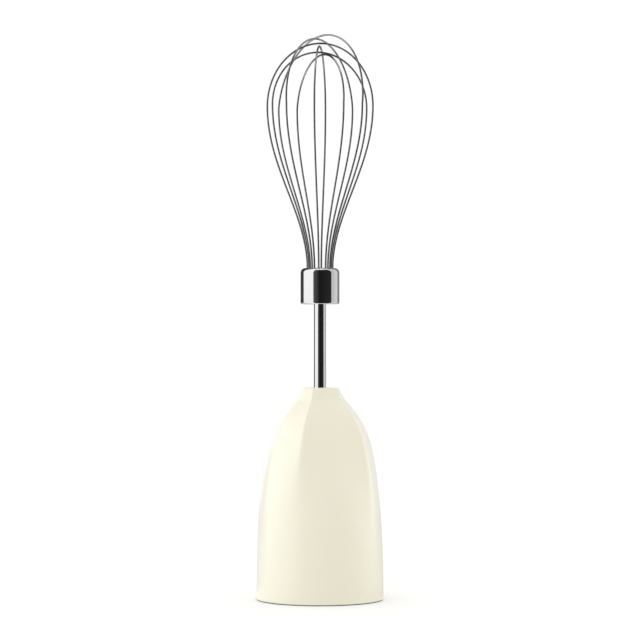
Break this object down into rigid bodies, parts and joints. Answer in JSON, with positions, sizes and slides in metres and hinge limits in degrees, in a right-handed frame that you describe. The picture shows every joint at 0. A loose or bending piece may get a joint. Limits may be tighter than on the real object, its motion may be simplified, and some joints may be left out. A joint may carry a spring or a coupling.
{
  "type": "hand blender whisk attachment",
  "caption": "Balloon whisk attachment for a hand blender: faceted ivory bell with a planetary gearbox inside, steel rod, ferrule and wire loops.",
  "frame": {"origin": "centre of the standing face, under the bell's rim, on the axis of the whisk", "axes": "+Z along the whisk's axis, from the coupling socket up to the crown of the wires; -Y through the middle of the bell's wide front facet"},
  "size_m": [0.0662, 0.0662, 0.2936],
  "materials": {
    "shell_ivory": "satin ivory moulding",
    "socket_plastic": "moulded, fine matt",
    "gear_nylon": "natural nylon",
    "seal_rubber": "soft matt",
    "machined_steel": "turned",
    "bush_bronze": "sintered bronze",
    "polished_steel": "mirror polished",
    "wire_steel": "polished wire",
    "plug_plastic": "moulded"
  },
  "bodies": {
    "bell_unit": {"outer_shell": "shell_ivory", "coupling_socket": "socket_plastic", "neck_gasket": "seal_rubber", "gearbox_housing": "gear_nylon", "bearing_plate": "gear_nylon", "input_bush": "bush_bronze", "ring_gear": "gear_nylon", "lower_thrust_washer": "bush_bronze", "lower_output_bush": "bush_bronze", "upper_output_bush": "bush_bronze", "shaft_seal": "seal_rubber", "housing_screws": "machined_steel"},
    "input_drive": {"drive_coupler": "socket_plastic", "input_shaft": "machined_steel", "first_sun_gear": "machined_steel", "input_circlip": "machined_steel"},
    "first_stage": {"first_carrier": "machined_steel", "first_planet_pins": "machined_steel", "second_sun_gear": "machined_steel", "middle_thrust_washer": "bush_bronze"},
    "output_stage": {"second_carrier": "machined_steel", "second_planet_pins": "machined_steel", "output_spindle": "machined_steel", "spindle_circlip": "machined_steel"},
    "whisk": {"whisk_rod": "polished_steel", "rod_snap_ring": "machined_steel", "ferrule": "polished_steel", "ferrule_plug": "plug_plastic", "wire_loop_1": "wire_steel", "wire_loop_2": "wire_steel", "wire_loop_3": "wire_steel", "wire_loop_4": "wire_steel", "wire_loop_5": "wire_steel", "wire_loop_6": "wire_steel"},
    "first_planet_a": {"first_planet_gear_a": "gear_nylon"},
    "first_planet_b": {"first_planet_gear_b": "gear_nylon"},
    "first_planet_c": {"first_planet_gear_c": "gear_nylon"},
    "second_planet_a": {"second_planet_gear_a": "gear_nylon"},
    "second_planet_b": {"second_planet_gear_b": "gear_nylon"},
    "second_planet_c": {"second_planet_gear_c": "gear_nylon"}
  },
  "joints": [
    {"name": "output_spin", "type": "hinge", "parent": "bell_unit", "child": "output_stage", "pos_m": [0, 0, 0.08], "axis": [0, 0, 1], "continuous": true},
    {"name": "whisk_pull", "type": "slide", "parent": "output_stage", "child": "whisk", "axis": [0, 0, 1], "range_m": [0, 0.038]},
    {"name": "first_carrier_spin", "type": "hinge", "parent": "bell_unit", "child": "first_stage", "pos_m": [0, 0, 0.045], "axis": [0, 0, 1], "continuous": true},
    {"name": "drive_spin", "type": "hinge", "parent": "bell_unit", "child": "input_drive", "pos_m": [0, 0, 0.03], "axis": [0, 0, 1], "continuous": true},
    {"name": "first_planet_spin_a", "type": "hinge", "parent": "first_stage", "child": "first_planet_a", "pos_m": [0.012, 0, 0.034], "axis": [0, 0, 1], "continuous": true},
    {"name": "first_planet_spin_b", "type": "hinge", "parent": "first_stage", "child": "first_planet_b", "pos_m": [-0.006, 0.01039, 0.034], "axis": [0, 0, 1], "continuous": true},
    {"name": "first_planet_spin_c", "type": "hinge", "parent": "first_stage", "child": "first_planet_c", "pos_m": [-0.006, -0.01039, 0.034], "axis": [0, 0, 1], "continuous": true},
    {"name": "second_planet_spin_a", "type": "hinge", "parent": "output_stage", "child": "second_planet_a", "pos_m": [0.012, 0, 0.048], "axis": [0, 0, 1], "continuous": true},
    {"name": "second_planet_spin_b", "type": "hinge", "parent": "output_stage", "child": "second_planet_b", "pos_m": [-0.006, 0.01039, 0.048], "axis": [0, 0, 1], "continuous": true},
    {"name": "second_planet_spin_c", "type": "hinge", "parent": "output_stage", "child": "second_planet_c", "pos_m": [-0.006, -0.01039, 0.048], "axis": [0, 0, 1], "continuous": true}
  ],
  "couplings": [
    {"joint": "first_carrier_spin", "follows": "output_spin", "ratio": 4},
    {"joint": "drive_spin", "follows": "output_spin", "ratio": 16},
    {"joint": "first_planet_spin_a", "follows": "output_spin", "ratio": -12},
    {"joint": "first_planet_spin_b", "follows": "output_spin", "ratio": -12},
    {"joint": "first_planet_spin_c", "follows": "output_spin", "ratio": -12},
    {"joint": "second_planet_spin_a", "follows": "output_spin", "ratio": -3},
    {"joint": "second_planet_spin_b", "follows": "output_spin", "ratio": -3},
    {"joint": "second_planet_spin_c", "follows": "output_spin", "ratio": -3}
  ]
}
